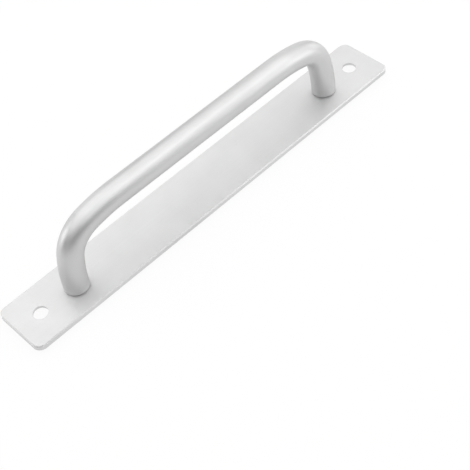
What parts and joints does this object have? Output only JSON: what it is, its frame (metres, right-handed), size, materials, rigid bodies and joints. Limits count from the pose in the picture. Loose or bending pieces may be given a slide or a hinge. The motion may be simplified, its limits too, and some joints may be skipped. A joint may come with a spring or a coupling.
{
  "type": "sliding door pull handle",
  "caption": "Round bar pull handle bent to a D on a flat fixing plate, for a sliding door, held by screws from behind.",
  "frame": {"origin": "on the plate's back face, halfway between the axes of the two fixing holes", "axes": "+X along the plate, +Y across it towards the edge that the bar stands further from, +Z out of the door, towards the grip"},
  "size_m": [0.226, 0.03, 0.0464],
  "materials": {
    "plate_aluminium": "satin",
    "bar_aluminium": "satin",
    "screw_steel": "zinc plated"
  },
  "bodies": {
    "root": {"mounting_plate": "plate_aluminium", "grip_bar": "bar_aluminium", "foot_screw_left": "screw_steel", "foot_screw_right": "screw_steel"}
  },
  "joints": []
}
